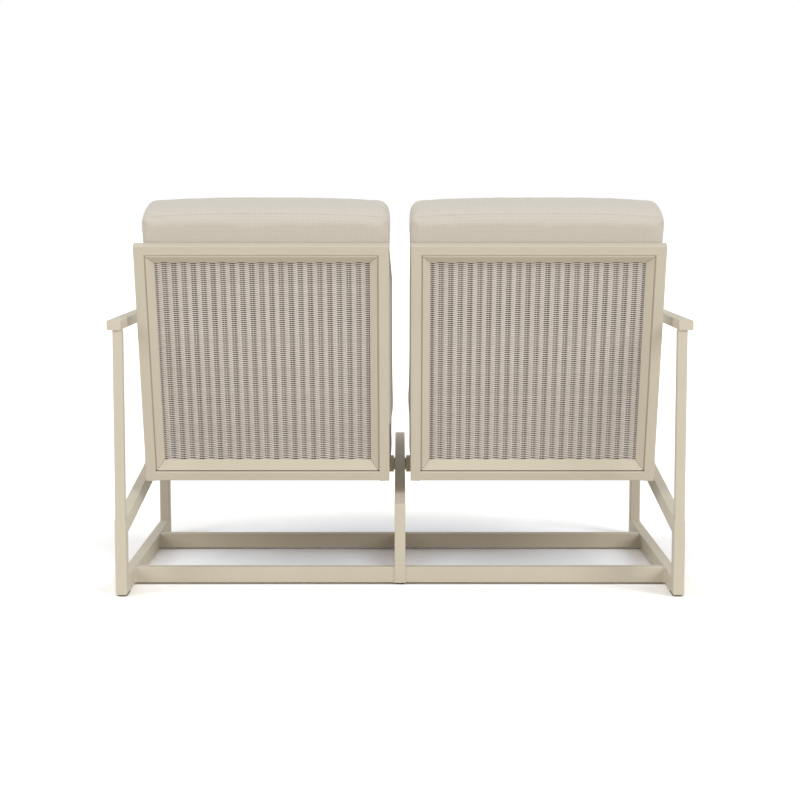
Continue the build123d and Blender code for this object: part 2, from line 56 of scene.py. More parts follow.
# %% Measures of the frame, in metres
HALF_DEPTH = 0.444
TUBE = 0.0254
SEAT_INNER_X, SEAT_OUTER_X = 0.0265, 0.640
SEAT_MIDDLE_X = (SEAT_INNER_X + SEAT_OUTER_X) / 2
CLEAR_HALF_WIDTH = SEAT_OUTER_X - SEAT_MIDDLE_X - TUBE
SEAT_LENGTH, BACK_LENGTH = 0.620, 0.623
BACK_FOOT = np.array([0, HALF_DEPTH - 0.213, 0.253])
BACK_TILT, SEAT_SLOPE = radians(17.27), radians(6.93)
GROOVE, MOULDING_WIDTH, SILL_WIDTH = 0.0034, 0.018, 0.024
SIDES = {"left": 1, "right": -1}

X_AXIS = np.array([1.0, 0, 0])
UP_BACK = np.array([0, np.sin(BACK_TILT), np.cos(BACK_TILT)])
INTO_BACK = np.array([0, -np.cos(BACK_TILT), np.sin(BACK_TILT)])
ALONG_SEAT = np.array([0, -np.cos(SEAT_SLOPE), np.sin(SEAT_SLOPE)])
OFF_SEAT = np.array([0, np.sin(SEAT_SLOPE), np.cos(SEAT_SLOPE)])


def spread(origin, across, along, off, axes):
    """Points origin + across a1 + along a2 + off a3, for arrays of the three distances."""
    across, along, off = np.broadcast_arrays(across, along, off)
    first, second, third = axes
    return origin + across[..., None] * first + along[..., None] * second + off[..., None] * third


def back_points(x, rise, depth):
    """Points of the back: rise up its slope from the foot, depth forward of its rear face."""
    return spread(BACK_FOOT, x, rise, depth, (X_AXIS, UP_BACK, INTO_BACK))


def seat_points(x, run, lift):
    """Points of the seat: run forward from the back, lift above the underside of the rails."""
    origin = BACK_FOOT + INTO_BACK * TUBE
    return spread(origin, x, run, lift, (X_AXIS, ALONG_SEAT, OFF_SEAT))


# %% [markdown]
# ## From arrays to a piece
#
# Every new piece starts as an array of points and an array of faces. One helper hands both to
# Blender with from_pydata, and says which body the piece rides on, which material it takes, and
# which CAD nodes it stands for, which it hides.

# %% Helpers that make a piece
def add_object(name, data):
    """Puts data into the scene as an object of that name."""
    added = bpy.data.objects.new(name, data)
    bpy.context.scene.collection.objects.link(added)
    return added


def make_piece(name, points, faces, material, body, replaces=(), smooth=True):
    """A mesh object with its place in its mesh, that rides on a body."""
    mesh = bpy.data.meshes.new(name)
    corners = faces.tolist() if isinstance(faces, np.ndarray) else faces
    mesh.from_pydata(points.reshape(-1, 3).tolist(), [], corners, shade_flat=not smooth)
    mesh.materials.append(material)
    piece = add_object(name, mesh)
    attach(piece, body)
    if replaces:
        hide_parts(*replaces)
    return piece


def point_attribute(mesh, name, values):
    """Keeps one number per point under a name that a material can read."""
    attribute = mesh.attributes.new(name, "FLOAT", "POINT")
    attribute.data.foreach_set("value", np.asarray(values, np.float32).ravel())


def corner_uv(mesh, uv):
    """Gives each face corner its own place in the cloth, in metres."""
    layer = mesh.uv_layers.new(name="cloth")
    layer.data.foreach_set("uv", np.asarray(uv, np.float32).ravel())


# %% [markdown]
# Most of these surfaces are grids or tubes. Numbering their points in an array and shifting that
# array by one row or column gives all the faces at once.

# %% Faces of grids and tubes
def grid_quads(index):
    """Quads between the neighbours of a grid of point numbers."""
    return np.stack([index[:-1, :-1], index[:-1, 1:], index[1:, 1:], index[1:, :-1]],
                    -1).reshape(-1, 4)


def grid_rim(index):
    """The point numbers on a grid's border, in one turn."""
    return np.concatenate([index[0, :-1], index[:-1, -1], index[-1, :0:-1], index[:0:-1, 0]])


def band_quads(rings):
    """Quads of the bands between closed rings of point numbers, one ring per row."""
    ahead = np.roll(rings, -1, 1)
    return np.stack([rings[:-1], ahead[:-1], ahead[1:], rings[1:]], -1).reshape(-1, 4)


# %% [markdown]
# ## Node groups: one effect, many finishes
#
# A shader node group is a small function with named inputs and outputs: it is built once, and each
# material calls it with its own values. The groups here put out only heights and masks. The
# Principled shader stays in the material, where every renderer and the export can read it.

# %% A short way to write node trees
def fill(tree, node, inputs):
    """Links a socket, or sets a value, on each named or numbered input of a node."""
    for key, value in inputs.items():
        if isinstance(value, bpy.types.NodeSocket):
            tree.links.new(value, node.inputs[key])
        else:
            node.inputs[key].default_value = value
    return node


def add_node(tree, kind, inputs=None, **settings):
    """Adds a node, sets its options, and fills its inputs."""
    node = tree.nodes.new(kind)
    for key, value in settings.items():
        setattr(node, key, value)
    return fill(tree, node, inputs or {})


def calc(tree, operation, first, second=0.0):
    """One step of arithmetic; gives its output socket."""
    return add_node(tree, "ShaderNodeMath", {0: first, 1: second}, operation=operation).outputs[0]


def vector_node(tree, operation, *values):
    """One step of vector arithmetic; gives its two outputs, Vector and Value."""
    return add_node(tree, "ShaderNodeVectorMath", dict(enumerate(values)),
                    operation=operation).outputs


def map_range(tree, value, low, high, to_low=0.0, to_high=1.0):
    """Moves a value from one range to another and keeps it inside."""
    keys = {"Value": value, "From Min": low, "From Max": high, "To Min": to_low, "To Max": to_high}
    return add_node(tree, "ShaderNodeMapRange", keys).outputs["Result"]


def mix(tree, factor, first, second):
    """Mixes two colours by a mask."""
    colours = {0: factor, 6: first, 7: second}
    return add_node(tree, "ShaderNodeMix", colours, data_type="RGBA").outputs[2]


def tinted(tree, colour, mask, most, over):
    """Lays another colour over the first, by mask times most."""
    return mix(tree, calc(tree, "MULTIPLY", mask, most), colour, over)


def noise(tree, vector, scale, detail=2.0, roughness=0.5):
    """A soft random value from 0 to 1."""
    keys = {"Vector": vector, "Scale": scale, "Detail": detail, "Roughness": roughness}
    return add_node(tree, "ShaderNodeTexNoise", keys).outputs["Fac"]


def new_group(name, numbers, outputs):
    """An empty group; gives its tree, the sockets that come in, and the node for the results."""
    tree = bpy.data.node_groups.new(name, "ShaderNodeTree")
    tree.interface.new_socket("Vector", in_out="INPUT", socket_type="NodeSocketVector")
    for label, default in numbers.items():
        socket = tree.interface.new_socket(label, in_out="INPUT", socket_type="NodeSocketFloat")
        socket.default_value = default
    for label in outputs:
        tree.interface.new_socket(label, in_out="OUTPUT", socket_type="NodeSocketFloat")
    return tree, tree.nodes.new("NodeGroupInput").outputs, tree.nodes.new("NodeGroupOutput")


def use_group(tree, group, inputs):
    """Places a node group in a material and fills its inputs."""
    return add_node(tree, "ShaderNodeGroup", inputs, node_tree=group).outputs


# %% [markdown]
# ### Powder coat
#
# Baked powder paint has a faint orange peel, and it is thinner on sharp edges, where a season
# outdoors shows first. The group gives the peel as a height, a slow mottle for the colour, and a
# mask of the edges, where the true normal differs from one that a Bevel node has rounded off.

# %% Powder coat group
def powder_group():
    """Peel height, mottle and edge mask for painted tube."""
    tree, given, put = new_group("powder_coat", {"Peel size": 0.0011, "Edge width": 0.0012},
                                 ("Height", "Mottle", "Edge"))
    per_metre = calc(tree, "DIVIDE", 1.0, given["Peel size"])
    peel = noise(tree, given["Vector"], per_metre, 2.0, 0.45)
    grit = noise(tree, given["Vector"], calc(tree, "MULTIPLY", per_metre, 3.1), 1.0)
    height = calc(tree, "ADD", calc(tree, "MULTIPLY", peel, 0.8), calc(tree, "MULTIPLY", grit, 0.2))
    rounded = add_node(tree, "ShaderNodeBevel", {"Radius": given["Edge width"]}, samples=4)
    true_normal = add_node(tree, "ShaderNodeNewGeometry").outputs["Normal"]
    alike = vector_node(tree, "DOT_PRODUCT", rounded.outputs[0], true_normal)["Value"]
    fill(tree, put, {"Height": height, "Mottle": noise(tree, given["Vector"], 9.0, 3.0, 0.55),
                     "Edge": map_range(tree, alike, 0.999, 0.93)})
    return tree


POWDER = powder_group()

# %% [markdown]
# ### Mitre lines
#
# The moulding's four strips meet in mitres, and each mitre shows as a hair line in the paint. The
# line is drawn from the distance to it. With s the way in from the stile and r the way in from the
# rail, a mitre that runs from the gap's corner along the direction (a, b) has the distance
# |b s - a r| divided by the length of (a, b). The sill is wider than the other strips, so the lower
# lines are steeper.

# %% Mitre group
def mitre_group():
    """A mask of the four mitre lines of each back's moulding."""
    tree, given, put = new_group("mitre_lines", {"Half width": 0.0004}, ("Line",))
    x = add_node(tree, "ShaderNodeSeparateXYZ", {0: given["Vector"]}).outputs["X"]
    from_middle = calc(tree, "SUBTRACT", calc(tree, "ABSOLUTE", x), SEAT_MIDDLE_X)
    inward = calc(tree, "SUBTRACT", CLEAR_HALF_WIDTH - GROOVE, calc(tree, "ABSOLUTE", from_middle))
    rise = vector_node(tree, "DOT_PRODUCT", given["Vector"], tuple(UP_BACK))["Value"]
    foot = float(BACK_FOOT @ UP_BACK)
    lines = []
    for up, edge, run in ((1.0, foot + TUBE + GROOVE, SILL_WIDTH),
                          (-1.0, foot + BACK_LENGTH - TUBE - GROOVE, MOULDING_WIDTH)):
        from_rail = calc(tree, "MULTIPLY", calc(tree, "SUBTRACT", rise, edge), up)
        size = np.hypot(MOULDING_WIDTH, run)
        across = calc(tree, "SUBTRACT", calc(tree, "MULTIPLY", inward, run / size),
                      calc(tree, "MULTIPLY", from_rail, MOULDING_WIDTH / size))
        near = calc(tree, "DIVIDE", calc(tree, "ABSOLUTE", across), given["Half width"])
        lines.append(calc(tree, "MULTIPLY", map_range(tree, near, 1.0, 0.6),
                          calc(tree, "LESS_THAN", from_rail, run)))
    fill(tree, put, {"Line": calc(tree, "MAXIMUM", *lines)})
    return tree


MITRES = mitre_group()

# %% [markdown]
# ### Threads
#
# Woven cloth is two sets of threads that pass over and under each other. Two sine waves, one for
# each direction, are enough for the relief: where one set rises the other sinks. Everything is
# laid out in the cloth's own UV map, which is in metres, so a thread stays the same width on every
# panel.

# %% Thread group
def thread_group():
    """Height of a plain weave, masks of its gaps and of the wide check lines, and its slubs."""
    tree, given, put = new_group("threads", {"Thread": 0.0012, "Check": 0.0077, "Slub": 0.5},
                                 ("Height", "Gap", "Check", "Slub"))
    wander = add_node(tree, "ShaderNodeTexNoise",
                      {"Vector": given["Vector"], "Scale": 45.0, "Detail": 2.0}).outputs["Color"]
    shift = vector_node(tree, "MULTIPLY", wander, (0.0006, 0.0006, 0.0))["Vector"]
    place = vector_node(tree, "ADD", given["Vector"], shift)["Vector"]
    axes = add_node(tree, "ShaderNodeSeparateXYZ", {0: place}).outputs
    waves, checks = [], []
    for axis in ("X", "Y"):
        count = calc(tree, "DIVIDE", axes[axis], given["Thread"])
        waves.append(calc(tree, "SINE", calc(tree, "MULTIPLY", count, np.pi)))
        share = calc(tree, "FRACT", calc(tree, "DIVIDE", axes[axis], given["Check"]))
        away = calc(tree, "ABSOLUTE", calc(tree, "SUBTRACT", share, 0.5))
        checks.append(map_range(tree, away, 0.38, 0.47))
    over = calc(tree, "ABSOLUTE", calc(tree, "MULTIPLY", *waves))
    stretched = add_node(tree, "ShaderNodeMapping", {"Vector": given["Vector"],
                                                     "Scale": (60.0, 900.0, 1.0)}).outputs[0]
    slub = calc(tree, "MULTIPLY", noise(tree, stretched, 1.0, 1.0), given["Slub"])
    fill(tree, put, {"Height": over, "Gap": map_range(tree, over, 0.22, 0.0),
                     "Check": calc(tree, "MAXIMUM", *checks), "Slub": slub})
    return tree


THREADS = thread_group()
print("node groups:", ", ".join(group.name for group in bpy.data.node_groups))


# %% [markdown]
# ## Finishes
#
# All materials start and end alike: a Principled shader is wired to the output, and gets a colour,
# a roughness and a bent normal. Colours are written as they look on a screen, and turned into the
# linear values that shaders want.

# %% Start and end of a material
def empty_tree(owner):
    """Switches a material or a world to nodes, and gives its emptied tree."""
    owner.use_nodes = True
    owner.node_tree.nodes.clear()
    return owner.node_tree


def new_material(name):
    """A material, its tree, and a Principled shader wired to the output."""
    material = bpy.data.materials.new(name)
    tree = empty_tree(material)
    shader = tree.nodes.new("ShaderNodeBsdfPrincipled")
    add_node(tree, "ShaderNodeOutputMaterial", {"Surface": shader.outputs[0]})
    return material, tree, shader


def wire_shader(tree, shader, colour, roughness, height, depth, strength=1.0):
    """Gives a shader its colour and roughness, and a height of 0 to 1 that is depth metres deep."""
    bent = add_node(tree, "ShaderNodeBump",
                    {"Height": height, "Distance": depth, "Strength": strength}).outputs[0]
    fill(tree, shader, {"Base Color": colour, "Roughness": roughness, "Normal": bent})


def linear(red, green, blue):
    """A screen colour of 0 to 255 per channel as the linear colour that shaders want."""
    share = np.array([red, green, blue]) / 255
    value = np.where(share <= 0.04045, share / 12.92, ((share + 0.055) / 1.055) ** 2.4)
    return (*value.tolist(), 1.0)


def object_place(tree):
    """Object coordinates, in metres from the origin of the shared frame."""
    return tree.nodes.new("ShaderNodeTexCoord").outputs["Object"]


def cloth_place(tree):
    """The piece's own UV map, in metres of cloth."""
    return add_node(tree, "ShaderNodeUVMap", uv_map="cloth").outputs[0]


# %% [markdown]
# ### Finishes of the CAD nodes
#
# The tubes and brackets have sand powder coat, and the moulding the same coat with mitre lines.
# The cores and bolts are zinc-plated steel, the cords black rubber, the glides dark plastic and the
# washers sand-coloured nylon.

# %% Painted tube
def painted_metal(name, mitred=False):
    """Sand powder coat: matt, a faint peel, slightly rubbed edges, and mitre lines where asked."""
    material, tree, shader = new_material(name)
    masks = use_group(tree, POWDER, {"Vector": object_place(tree)})
    colour = mix(tree, masks["Mottle"], linear(214, 207, 190), linear(209, 201, 184))
    colour = tinted(tree, colour, masks["Edge"], 0.30, linear(222, 214, 197))
    if mitred:
        line = use_group(tree, MITRES, {"Vector": object_place(tree)})["Line"]
        colour = tinted(tree, colour, line, 0.85, linear(110, 98, 76))
    roughness = map_range(tree, masks["Mottle"], 0.3, 0.7, 0.48, 0.58)
    wire_shader(tree, shader, colour, roughness, masks["Height"], 0.00008)
    shader.inputs["Specular IOR Level"].default_value = 0.22
    return material


PAINT = painted_metal("sand_powder_coat")
MITRED_PAINT = painted_metal("sand_powder_coat_mitred", mitred=True)


# %% Rubber, steel and plastic
def plain_finish(name, dark, light, scale, roughness, metallic=0.0):
    """A finish that wanders between two colours, with roughness and relief from the same noise."""
    material, tree, shader = new_material(name)
    grain = noise(tree, object_place(tree), scale, 4.0, 0.6)
    wire_shader(tree, shader, mix(tree, grain, dark, light),
                map_range(tree, grain, 0.3, 0.7, *roughness), grain, 0.0001)
    shader.inputs["Metallic"].default_value = metallic
    return material


RUBBER = plain_finish("spring_rubber", linear(24, 24, 25), linear(42, 42, 43), 260, (0.65, 0.85))
STEEL = plain_finish("zinc_steel", linear(150, 152, 155), linear(196, 197, 198), 420,
                     (0.28, 0.45), metallic=1.0)
GLIDE = plain_finish("glide_plastic", linear(58, 56, 53), linear(78, 75, 71), 700, (0.45, 0.62))
NYLON = plain_finish("sand_nylon", linear(196, 187, 166), linear(206, 197, 176), 700, (0.45, 0.62))

NODE_FINISH = {"foot_glides": GLIDE, "torsion_cores": STEEL, "core_bolts": STEEL,
               "thrust_washers": NYLON, "rubber_cords": RUBBER, "bracket_bolts": STEEL,
               "panel_moulding": MITRED_PAINT}
for name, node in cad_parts.items():
    kind = name.removeprefix("left_").removeprefix("right_")
    node.data.materials.clear()
    node.data.materials.append(NODE_FINISH.get(kind, PAINT))
print(len(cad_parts), "CAD nodes have their finish")


# %% [markdown]
# ## The woven backs
#
# Each back is woven from flat vinyl strands. Strong vertical strands stand in ribs, 23.4 mm apart,
# with one thin strand between two ribs. The horizontal strands run over one rib and behind the
# next. Between the ribs they draw together in pairs and leave dark slots, and neighbouring columns
# pair them the other way, so their slots are offset by half a row. A bump map can't show the dark
# through the slots, so the weave is real geometry: each strand is a four-sided tube whose centre
# line and width are functions of u, the way across the opening.

# %% Measures of the weave
RIB_PITCH, ROW_PITCH = 0.02345, 0.005132
FIRST_RIB = {"left": 0.01593, "right": 0.01369}
OPENING_LOW = TUBE + GROOVE + SILL_WIDTH
OPENING_HIGH = BACK_LENGTH - TUBE - GROOVE - MOULDING_WIDTH
OPENING_EDGE = TUBE + GROOVE + MOULDING_WIDTH
PANEL_WIDTH = SEAT_OUTER_X - SEAT_INNER_X - 2 * OPENING_EDGE
PANEL_LENGTH = OPENING_HIGH - OPENING_LOW
PANEL_TUCK, WEAVE_DEPTH = 0.009, 0.0188
STATION_MARGIN, ROW_MARGIN, WARP_MARGIN = 0.001, 0.0015, 0.002
CORNER_ALONG, CORNER_OFF = np.array([1.0, -1.0, -1.0, 1.0]), np.array([1.0, 1.0, -1.0, -1.0])
print("woven opening", round(PANEL_WIDTH, 4), "x", round(PANEL_LENGTH, 4), "m")


def within(place, size, margin):
    """Tells which places lie inside the opening and its tuck, by a margin."""
    return (place > -PANEL_TUCK + margin) & (place < size + PANEL_TUCK - margin)



# %% Horizontal strands
STRAND_LIFT, SLOT_HALF_HEIGHT, FLAT_STRAND_SHARE = 0.0008, 0.00050, 0.96
FLAT_HALF_THICKNESS, PINCHED_HALF_THICKNESS = 0.00045, 0.00055
EVEN_COLUMN_SHARE, TUCKED_OPENNESS, ROW_PHASE = 0.94, 0.1, 0.35
STATION_SHARES = np.array([0.09, 0.34, 0.50, 0.66, 0.91])
STATION_OPENNESS = np.array([0.06, 1.0, 0.97, 1.0, 0.06])
STATION_SWING = np.array([1.0, 0.15, 0.0, -0.15, -1.0])


def weft_stations(first_rib):
    """Places u across the back, with the column, the openness and the swing that hold there.

    Five stations lie in each column between two ribs. Openness is 0 at a rib, where a strand lies
    flat, and 1 at a slot. Swing is 1 over a rib and -1 behind it.
    """
    columns = np.arange(-1, 22)
    u = (first_rib + (columns[:, None] + STATION_SHARES) * RIB_PITCH).ravel()
    column = np.repeat(columns, len(STATION_SHARES))
    even = column % 2 == 0
    openness = np.tile(STATION_OPENNESS, len(columns)) * np.where(even, EVEN_COLUMN_SHARE, 1.0)
    swing = np.tile(STATION_SWING, len(columns)) * np.where(even, 1.0, -1.0)
    keep = within(u, PANEL_WIDTH, STATION_MARGIN)
    u, column, openness, swing = u[keep], column[keep], openness[keep], swing[keep]
    openness = np.where((u > 0) & (u < PANEL_WIDTH), openness, TUCKED_OPENNESS)
    u = np.concatenate([[-PANEL_TUCK], u, [PANEL_WIDTH + PANEL_TUCK]])
    openness = np.pad(openness, 1, constant_values=TUCKED_OPENNESS)
    return u, np.pad(column, 1, mode="edge"), openness, np.pad(swing, 1, mode="edge")


def weave_wefts(first_rib):
    """All horizontal strands of one back, as tubes with the four corners of a flat section.

    Centre line: v = rest row + parity * column sign * openness * pull, and w = lift * parity *
    swing. Half height: a quarter of the row pitch where the strand lies flat, and less where it is
    pinched into a slot's edge, where it is also a little thicker.
    """
    u, column, openness, swing = weft_stations(first_rib)
    rows = np.arange(int(-PANEL_TUCK / ROW_PITCH * 2) - 1,
                     int((PANEL_LENGTH + PANEL_TUCK) / ROW_PITCH * 2) + 1)
    v_rest = (ROW_PHASE + rows / 2) * ROW_PITCH
    keep = within(v_rest, PANEL_LENGTH, ROW_MARGIN)
    rows, v_rest = rows[keep], v_rest[keep]
    parity = np.where(rows % 2 == 0, 1.0, -1.0)
    quarter = ROW_PITCH / 4
    pull = quarter - SLOT_HALF_HEIGHT
    sign = np.where(column % 2 == 0, -1.0, 1.0)
    v = v_rest[:, None] + parity[:, None] * sign * openness * pull
    w = STRAND_LIFT * parity[:, None] * swing
    half = quarter * FLAT_STRAND_SHARE * (1 - openness) + SLOT_HALF_HEIGHT * openness
    thick = FLAT_HALF_THICKNESS * (1 - openness) + PINCHED_HALF_THICKNESS * openness
    return (u[:, None], v[..., None] + half[:, None] * CORNER_ALONG,
            w[..., None] + thick[:, None] * CORNER_OFF)


# %% Vertical strands
FLAT_WARP_OFFSET, FLAT_WARP_HALF_WIDTH, THIN_WARP_HALF_WIDTH = 0.0021, 0.0020, 0.0006
WARP_HALF_THICKNESS, THIN_WARP_SETBACK = 0.00034, 0.0011


def weave_warps(first_rib):
    """Vertical strands with two rings each: two flat ones per rib, and a thin one between ribs."""
    ribs = first_rib + np.arange(-1, 23) * RIB_PITCH
    flat = np.concatenate([ribs - FLAT_WARP_OFFSET, ribs + FLAT_WARP_OFFSET])
    centre = np.concatenate([flat, ribs + RIB_PITCH / 2])
    half = np.repeat([FLAT_WARP_HALF_WIDTH, THIN_WARP_HALF_WIDTH], [len(flat), len(ribs)])
    setback = np.repeat([0.0, THIN_WARP_SETBACK], [len(flat), len(ribs)])
    keep = within(centre, PANEL_WIDTH, WARP_MARGIN)
    centre, half, setback = (values[keep, None, None] for values in (centre, half, setback))
    return (centre + half * CORNER_ALONG, np.array([[-PANEL_TUCK], [PANEL_LENGTH + PANEL_TUCK]]),
            -setback - WARP_HALF_THICKNESS * CORNER_OFF)


def many_tubes(strands, rings):
    """Faces of equal four-sided tubes that follow one another in a point array, with end caps."""
    index = np.arange(4 * rings).reshape(rings, 4)
    one = np.concatenate([band_quads(index), index[:1, ::-1], index[-1:]])
    return (one + 4 * rings * np.arange(strands)[:, None, None]).reshape(-1, 4)


# %% [markdown]
# ### Vinyl, and painted shade in the slots
#
# Each strand has its own tone, kept as an attribute of its points, because no two metres of vinyl
# take the dye alike. The vertical strands are made darker as painted shade, since they lie behind
# the horizontal ones, so the rows stand out on the ribs too. Behind the weave a dark sheet is
# stretched as painted shade: it is all that shows in the slots.

# %% Vinyl and painted slot shade materials
def strand_material():
    """Matt vinyl strand with a fine draw grain; each strand is dyed a little differently, and the
    vertical strands are darker as painted shade.
    """
    material, tree, shader = new_material("woven_vinyl")
    tone_and_shade = add_node(tree, "ShaderNodeAttribute", attribute_name="tone_and_shade").outputs["Fac"]
    place = add_node(tree, "ShaderNodeMapping", {"Vector": object_place(tree),
                                                 "Scale": (120.0, 900.0, 900.0)}).outputs[0]
    grain = noise(tree, place, 1.0, 2.0)
    colour = mix(tree, tone_and_shade, linear(184, 175, 166), linear(247, 240, 233))
    colour = tinted(tree, colour, grain, 0.30, linear(186, 174, 162))
    wire_shader(tree, shader, colour, 0.62, grain, 0.00006)
    return material


def slot_shade_material():
    """A dark mesh cloth behind the weave that paints the shade seen in its slots."""
    material, tree, shader = new_material("painted_slot_shade")
    masks = use_group(tree, THREADS, {"Vector": cloth_place(tree), "Thread": 0.0008, "Check": 0.05})
    colour = mix(tree, masks["Slub"], linear(52, 47, 42), linear(40, 36, 32))
    colour = tinted(tree, colour, masks["Gap"], 0.7, linear(20, 18, 16))
    wire_shader(tree, shader, colour, 0.9, masks["Height"], 0.0002)
    return material


VINYL, SLOT_SHADE = strand_material(), slot_shade_material()


# %% A sheet of two layers
def sheet_grid(width, length, count):
    """Grid x, y of a sheet from (-w/2, 0) to (w/2, l), and the faces of its two layers and rim."""
    x, y = np.meshgrid(np.linspace(-width / 2, width / 2, count), np.linspace(0, length, count))
    index = np.arange(count * count).reshape(count, count)
    cell, loop = grid_quads(index), grid_rim(index)
    rim = band_quads(np.stack([loop + x.size, loop]))
    return x, y, np.concatenate([cell, cell[:, ::-1] + x.size, rim])


def two_layers(x, y, first, second):
    """Points (x, y, first) and then (x, y, second) of a sheet's two faces."""
    return np.concatenate([np.stack(np.broadcast_arrays(x, y, layer), -1).reshape(-1, 3)
                           for layer in (first, second)])


# %% Both backs
# The vertical strands' lower tone is painted shade, for lying behind the horizontal strands.
WEFT_TONE, WARP_SHADE_TONE, TONE_SPREAD = 0.75, 0.0, 0.25
# Measures of the dark sheet behind the weave, which paints the shade in the slots.
SHADE_SHEET_DEPTH, SHADE_SHEET_THICKNESS, SHADE_SHEET_MARGIN = 0.0228, 0.0006, 0.010
SHADE_SHEET_WIDTH, SHADE_SHEET_LENGTH = PANEL_WIDTH + 2 * SHADE_SHEET_MARGIN, PANEL_LENGTH + 2 * SHADE_SHEET_MARGIN
tones = np.random.default_rng(7)

for name, side in SIDES.items():
    low_x = min(side * (SEAT_INNER_X + OPENING_EDGE), side * (SEAT_OUTER_X - OPENING_EDGE))
    for kind, (u, v, w), base_tone_and_shade, stands_for in (
            ("wefts", weave_wefts(FIRST_RIB[name]), WEFT_TONE, [f"{name}_woven_panel"]),
            ("warps", weave_warps(FIRST_RIB[name]), WARP_SHADE_TONE, [])):
        points = back_points(low_x + u, OPENING_LOW + v, WEAVE_DEPTH - w)
        strands, rings, around, _ = points.shape
        piece = make_piece(f"{name}_panel_{kind}", points, many_tubes(strands, rings), VINYL,
                           f"{name}_seat", stands_for)
        tone_and_shade = base_tone_and_shade + TONE_SPREAD * tones.random(strands)
        point_attribute(piece.data, "tone_and_shade", np.repeat(tone_and_shade, rings * around))
        print(piece.name, "has", strands, "strands")
    # The dark sheet behind the weave: painted shade for the slots.
    x, y, faces = sheet_grid(SHADE_SHEET_WIDTH, SHADE_SHEET_LENGTH, count=9)
    both = two_layers(x, y, SHADE_SHEET_DEPTH, SHADE_SHEET_DEPTH + SHADE_SHEET_THICKNESS)
    points = back_points(side * SEAT_MIDDLE_X + both[:, 0], OPENING_LOW - SHADE_SHEET_MARGIN + both[:, 1],
                         both[:, 2])
    slot_shade_sheet = make_piece(f"{name}_panel_slot_shade", points, faces, SLOT_SHADE, f"{name}_seat")
    corner_uv(slot_shade_sheet.data, both[faces][..., :2])

# %% [markdown]
# ## Beads, strips and fills of the back's frame
#
# A shadow gap runs round the moulding. It is deep and dark only under the sill: at both sides a
# painted bead lies in it, at the top the bead comes almost up to the surface, and under the sill a
# dark strip at its bottom paints the gap's shade. All of these are plain boxes in the back's own
# axes.
#
# Where the bottom rail butts against a stile, the stile's rounded edge would leave a groove. On the
# real frame the weld fills it flush; here a three-sided bar does.

# %% Boxes in the axes of the back
BOX_CORNERS = np.array([[0, 0, 0], [1, 0, 0], [1, 1, 0], [0, 1, 0],
                        [0, 0, 1], [1, 0, 1], [1, 1, 1], [0, 1, 1]], bool)
BOX_FACES = np.array([[1, 2, 3, 0], [7, 6, 5, 4], [4, 5, 1, 0],
                      [6, 7, 3, 2], [5, 6, 2, 1], [7, 4, 0, 3]])


def make_boxes(name, kind, boxes, material):
    """One piece of boxes on one back, each given by its lowest and its highest corner."""
    low, high = np.array(boxes).swapaxes(0, 1)[:, :, None]
    x, rise, depth = np.moveaxis(np.where(BOX_CORNERS, high, low), -1, 0)
    faces = (BOX_FACES + 8 * np.arange(len(boxes))[:, None, None]).reshape(-1, 4)
    points = back_points(SIDES[name] * SEAT_MIDDLE_X + x, rise, depth)
    make_piece(f"{name}_{kind}", points, faces, material, f"{name}_seat", smooth=False)


# %% Beads
BEAD_CLEARANCE = 0.0002
SIDE_BEAD_DEPTH, HEAD_BEAD_DEPTH, BEAD_FLOOR = 0.0040, 0.0009, 0.0119
BEAD_OUTER = CLEAR_HALF_WIDTH - BEAD_CLEARANCE
BEAD_INNER = BEAD_OUTER - GROOVE + 2 * BEAD_CLEARANCE
BEAD_LOW, BEAD_HIGH = TUBE + GROOVE, BACK_LENGTH - TUBE - BEAD_CLEARANCE

for name in SIDES:
    make_boxes(name, "gap_beads", [
        ((BEAD_INNER, BEAD_LOW, SIDE_BEAD_DEPTH), (BEAD_OUTER, BEAD_HIGH, BEAD_FLOOR)),
        ((-BEAD_OUTER, BEAD_LOW, SIDE_BEAD_DEPTH), (-BEAD_INNER, BEAD_HIGH, BEAD_FLOOR)),
        ((-BEAD_INNER, BEAD_HIGH - (BEAD_OUTER - BEAD_INNER), HEAD_BEAD_DEPTH),
         (BEAD_INNER, BEAD_HIGH, BEAD_FLOOR))], PAINT)
print("beads laid in the gaps of both mouldings")

# %% Painted shade strip under the sill, and flush fills
SILL_STRIP_DEPTH, FRAME_EDGE_RADIUS, FILL_INSET = 0.0050, 0.003, 0.0018
# Painted shade: the dark strip in the gap under the sill stands in for its deep shadow.
SILL_GAP_SHADE = plain_finish("dark_gap_strip", linear(66, 56, 42), linear(84, 72, 55), 900, (0.8, 0.95))
PRISM_FACES = [[0, 1, 2], [5, 4, 3], [0, 3, 4, 1], [1, 4, 5, 2], [2, 5, 3, 0]]
TWO_PRISMS = PRISM_FACES + [[6 + corner for corner in face] for face in PRISM_FACES]

for name, side in SIDES.items():
    make_boxes(name, "gap_strip", [((-BEAD_OUTER, TUBE + BEAD_CLEARANCE, SILL_STRIP_DEPTH),
                                    (BEAD_OUTER, TUBE + GROOVE, BEAD_FLOOR))], SILL_GAP_SHADE)
    corners = []
    for out in (1, -1):
        edge = out * CLEAR_HALF_WIDTH
        rim = [(edge, 0.0), (edge + out * FRAME_EDGE_RADIUS, 0.0), (edge, FRAME_EDGE_RADIUS)]
        corners += [(x, rise, depth) for rise in (FILL_INSET, TUBE - FILL_INSET)
                    for x, depth in rim[::out]]
    x, rise, depth = np.array(corners).T
    make_piece(f"{name}_joint_fills", back_points(side * SEAT_MIDDLE_X + x, rise, depth),
               TWO_PRISMS, PAINT, f"{name}_seat", smooth=False)
print("strips and flush fills laid")

